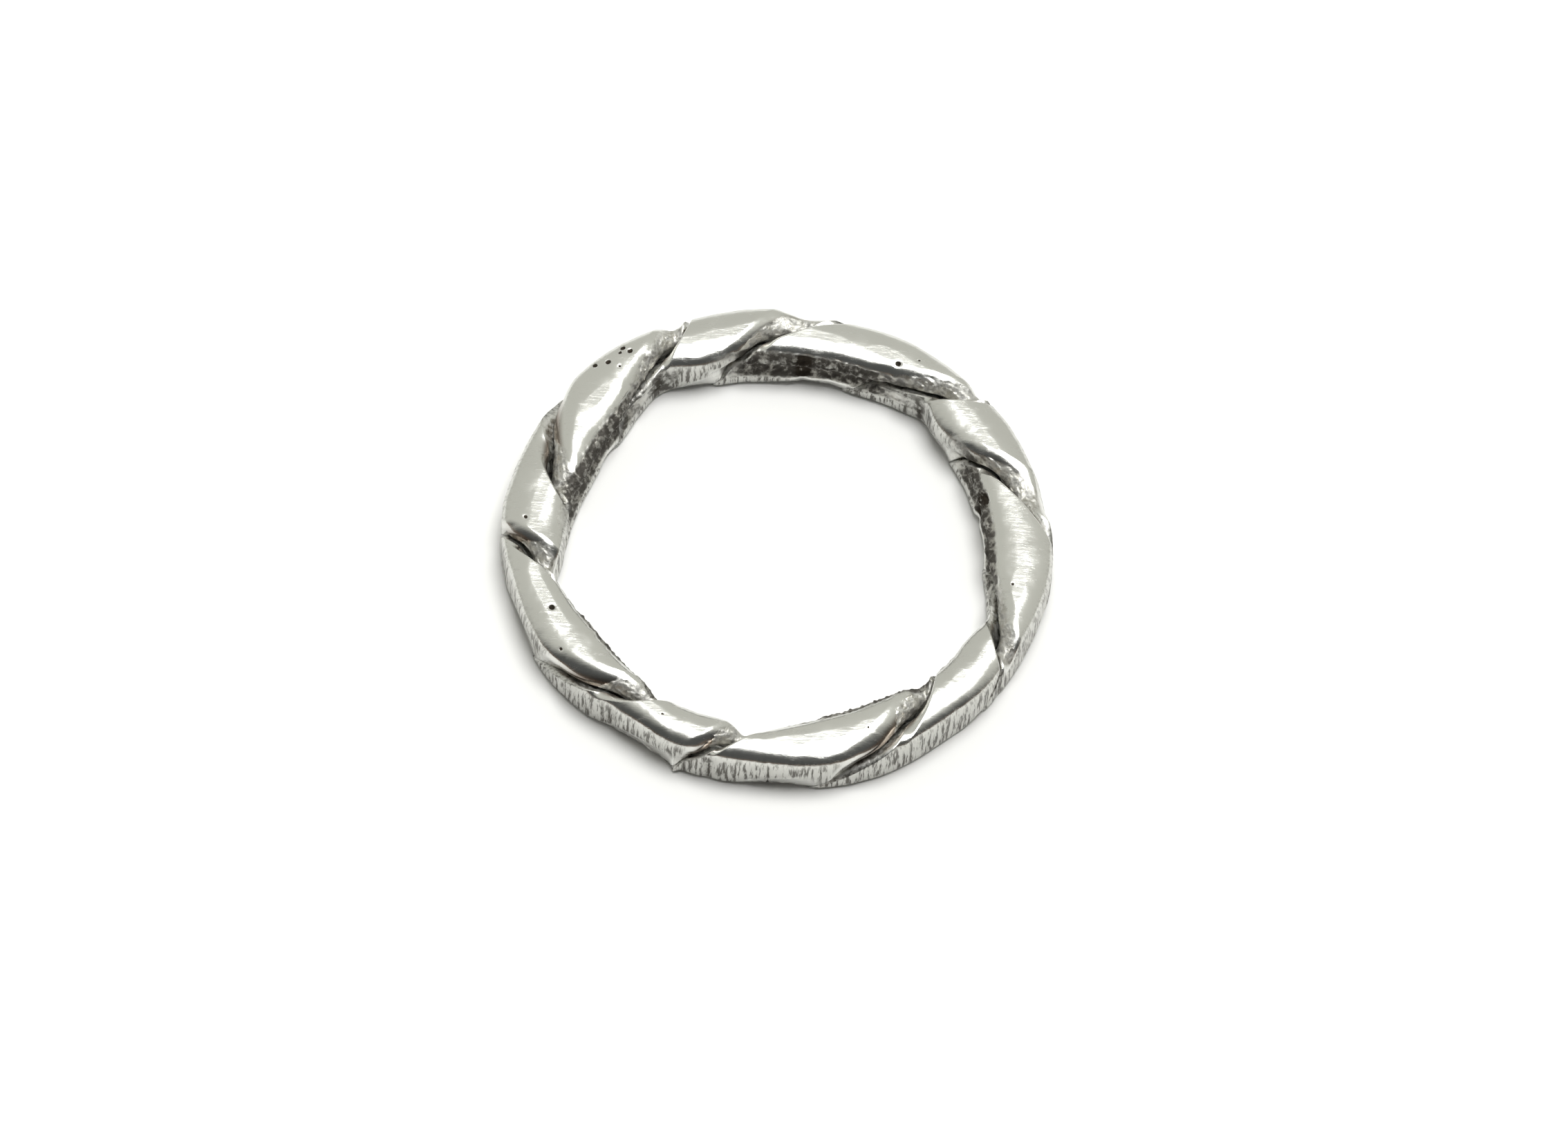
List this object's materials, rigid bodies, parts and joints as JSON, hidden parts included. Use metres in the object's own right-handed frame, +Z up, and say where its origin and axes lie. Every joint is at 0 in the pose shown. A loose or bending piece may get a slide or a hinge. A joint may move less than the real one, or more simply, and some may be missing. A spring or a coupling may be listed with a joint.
{
  "type": "metal ring disentanglement puzzle",
  "caption": "Flat ring puzzle of two cast metal strands wound round each other in a closed twist, with polished lobes and rough grooves.",
  "frame": {"origin": "on the ground plane, in the middle of the ring's hole", "axes": "+Z up along the ring's axis, +Y away from the viewer, +X to the viewer's right"},
  "size_m": [0.0504, 0.0494, 0.0048],
  "materials": {
    "long_lobe_metal": "polished lobes, rough as-cast grooves, filed sides",
    "short_lobe_metal": "polished lobes, rough as-cast grooves, filed sides"
  },
  "bodies": {
    "long_lobes": {"long_lobe_strand": "long_lobe_metal"},
    "short_lobes": {"short_lobe_strand": "short_lobe_metal"}
  },
  "joints": [
    {"name": "strand_turn", "type": "hinge", "parent": "long_lobes", "child": "short_lobes", "pos_m": [0, 0, 0.0024], "axis": [0, 0, 1], "range_deg": [-0.3, 0.3]}
  ]
}
